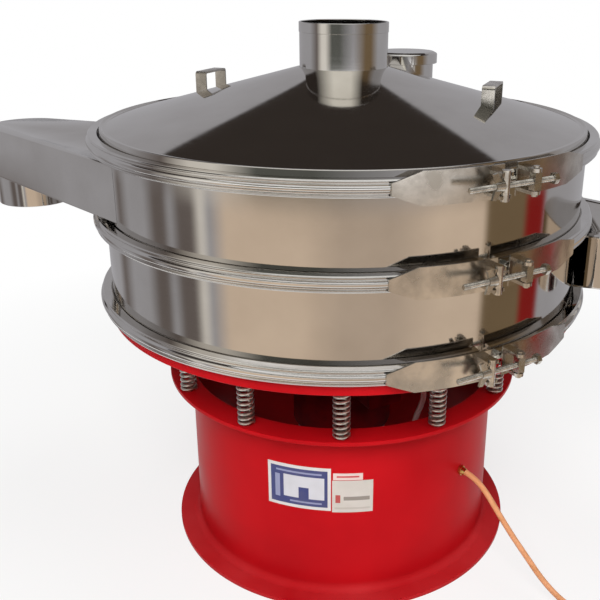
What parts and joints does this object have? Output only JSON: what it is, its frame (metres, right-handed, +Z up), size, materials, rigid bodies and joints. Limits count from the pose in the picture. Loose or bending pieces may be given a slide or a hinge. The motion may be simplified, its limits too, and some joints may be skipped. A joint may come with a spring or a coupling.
{
  "type": "vibrating sieve",
  "caption": "Round vibrating sieve: decks clamped with V-bands under a conical lid, on a ring of coil springs over a red drum base, with a vibration motor inside.",
  "frame": {"origin": "on the floor, on the machine's vertical axis", "axes": "+Z up along the machine's axis, +X to the fines outlet, front with the closures to -Y"},
  "size_m": [1.644, 1.1171, 1.139],
  "materials": {
    "red_paint": "gloss enamel",
    "stainless": "polished sheet",
    "closure_steel": "dull zinc",
    "spring_steel": "bright wire",
    "screen_wire": "woven wire",
    "gasket_rubber": "matte",
    "motor_paint": "semi-gloss",
    "machined_steel": "machined",
    "cable_sheath": "matte",
    "plug_plastic": "matte",
    "brass": "turned"
  },
  "bodies": {
    "base": {"base_drum": "red_paint", "lower_spring_studs": "closure_steel", "springs": "spring_steel", "cable_gland": "brass", "supply_cable": "cable_sheath", "cable_coil": "cable_sheath", "cable_tie": "plug_plastic", "plug_body": "plug_plastic", "plug_pins": "brass", "motor_cable": "cable_sheath"},
    "sieve": {"table": "red_paint", "upper_spring_studs": "closure_steel", "motor_housing": "motor_paint", "motor_end_shields": "motor_paint", "bearings": "machined_steel", "stator": "machined_steel", "motor_bolts": "closure_steel", "terminal_box": "motor_paint", "lower_deck": "stainless", "fines_dome": "stainless", "lower_chute": "stainless", "screen_ring": "stainless", "screen_mesh": "screen_wire", "screen_support": "stainless", "upper_deck": "stainless", "upper_chute": "stainless", "lid": "stainless", "feed_spout": "stainless", "sight_port_collar": "stainless", "lid_handles": "stainless", "top_gasket": "gasket_rubber", "top_clamp_band": "stainless", "top_clamp_plates": "closure_steel", "middle_gasket": "gasket_rubber", "middle_clamp_band": "stainless", "middle_clamp_plates": "closure_steel", "bottom_gasket": "gasket_rubber", "bottom_clamp_band": "stainless", "bottom_clamp_plates": "closure_steel"},
    "rotor": {"rotor_shaft": "machined_steel", "rotor_core": "machined_steel", "upper_weight": "machined_steel"},
    "adjustable_weight": {"lower_weight": "machined_steel"},
    "sight_port_cap": {"sight_port_cap": "stainless"},
    "top_closure": {"top_swing_bolt": "closure_steel", "top_hook_barrel": "closure_steel", "top_pivot_barrel": "closure_steel", "top_lock_nut": "closure_steel"},
    "top_wing_nut": {"top_wing_nut": "closure_steel"},
    "middle_closure": {"middle_swing_bolt": "closure_steel", "middle_hook_barrel": "closure_steel", "middle_pivot_barrel": "closure_steel", "middle_lock_nut": "closure_steel"},
    "middle_wing_nut": {"middle_wing_nut": "closure_steel"},
    "bottom_closure": {"bottom_swing_bolt": "closure_steel", "bottom_hook_barrel": "closure_steel", "bottom_pivot_barrel": "closure_steel", "bottom_lock_nut": "closure_steel"},
    "bottom_wing_nut": {"bottom_wing_nut": "closure_steel"}
  },
  "joints": [
    {"name": "vibration", "type": "slide", "parent": "base", "child": "sieve", "axis": [0, 0, 1], "range_m": [-0.005, 0.005], "stiffness_N_per_m": 196500, "springref_m": 0.015, "deforming": ["springs", "motor_cable"]},
    {"name": "rotor_spin", "type": "hinge", "parent": "sieve", "child": "rotor", "pos_m": [0, 0, 0.3975], "axis": [0, 0, 1], "continuous": true},
    {"name": "weight_setting", "type": "hinge", "parent": "rotor", "child": "adjustable_weight", "pos_m": [0, 0, 0.21], "axis": [0, 0, 1], "range_deg": [0, 90]},
    {"name": "cap_lift", "type": "slide", "parent": "sieve", "child": "sight_port_cap", "axis": [0, 0, 1], "range_m": [0, 0.06]},
    {"name": "top_closure_swing", "type": "hinge", "parent": "sieve", "child": "top_closure", "pos_m": [0.30687, -0.45989, 0.921], "axis": [0, 0, 1], "range_deg": [0, 22]},
    {"name": "top_wing_nut_turn", "type": "hinge", "parent": "top_closure", "child": "top_wing_nut", "pos_m": [0.28016, -0.47562, 0.921], "axis": [0.8616, 0.5075, 0], "continuous": true},
    {"name": "middle_closure_swing", "type": "hinge", "parent": "sieve", "child": "middle_closure", "pos_m": [0.30687, -0.45989, 0.7645], "axis": [0, 0, 1], "range_deg": [0, 22]},
    {"name": "middle_wing_nut_turn", "type": "hinge", "parent": "middle_closure", "child": "middle_wing_nut", "pos_m": [0.28016, -0.47562, 0.7645], "axis": [0.8616, 0.5075, 0], "continuous": true},
    {"name": "bottom_closure_swing", "type": "hinge", "parent": "sieve", "child": "bottom_closure", "pos_m": [0.30687, -0.45989, 0.597], "axis": [0, 0, 1], "range_deg": [0, 22]},
    {"name": "bottom_wing_nut_turn", "type": "hinge", "parent": "bottom_closure", "child": "bottom_wing_nut", "pos_m": [0.28016, -0.47562, 0.597], "axis": [0.8616, 0.5075, 0], "continuous": true}
  ]
}
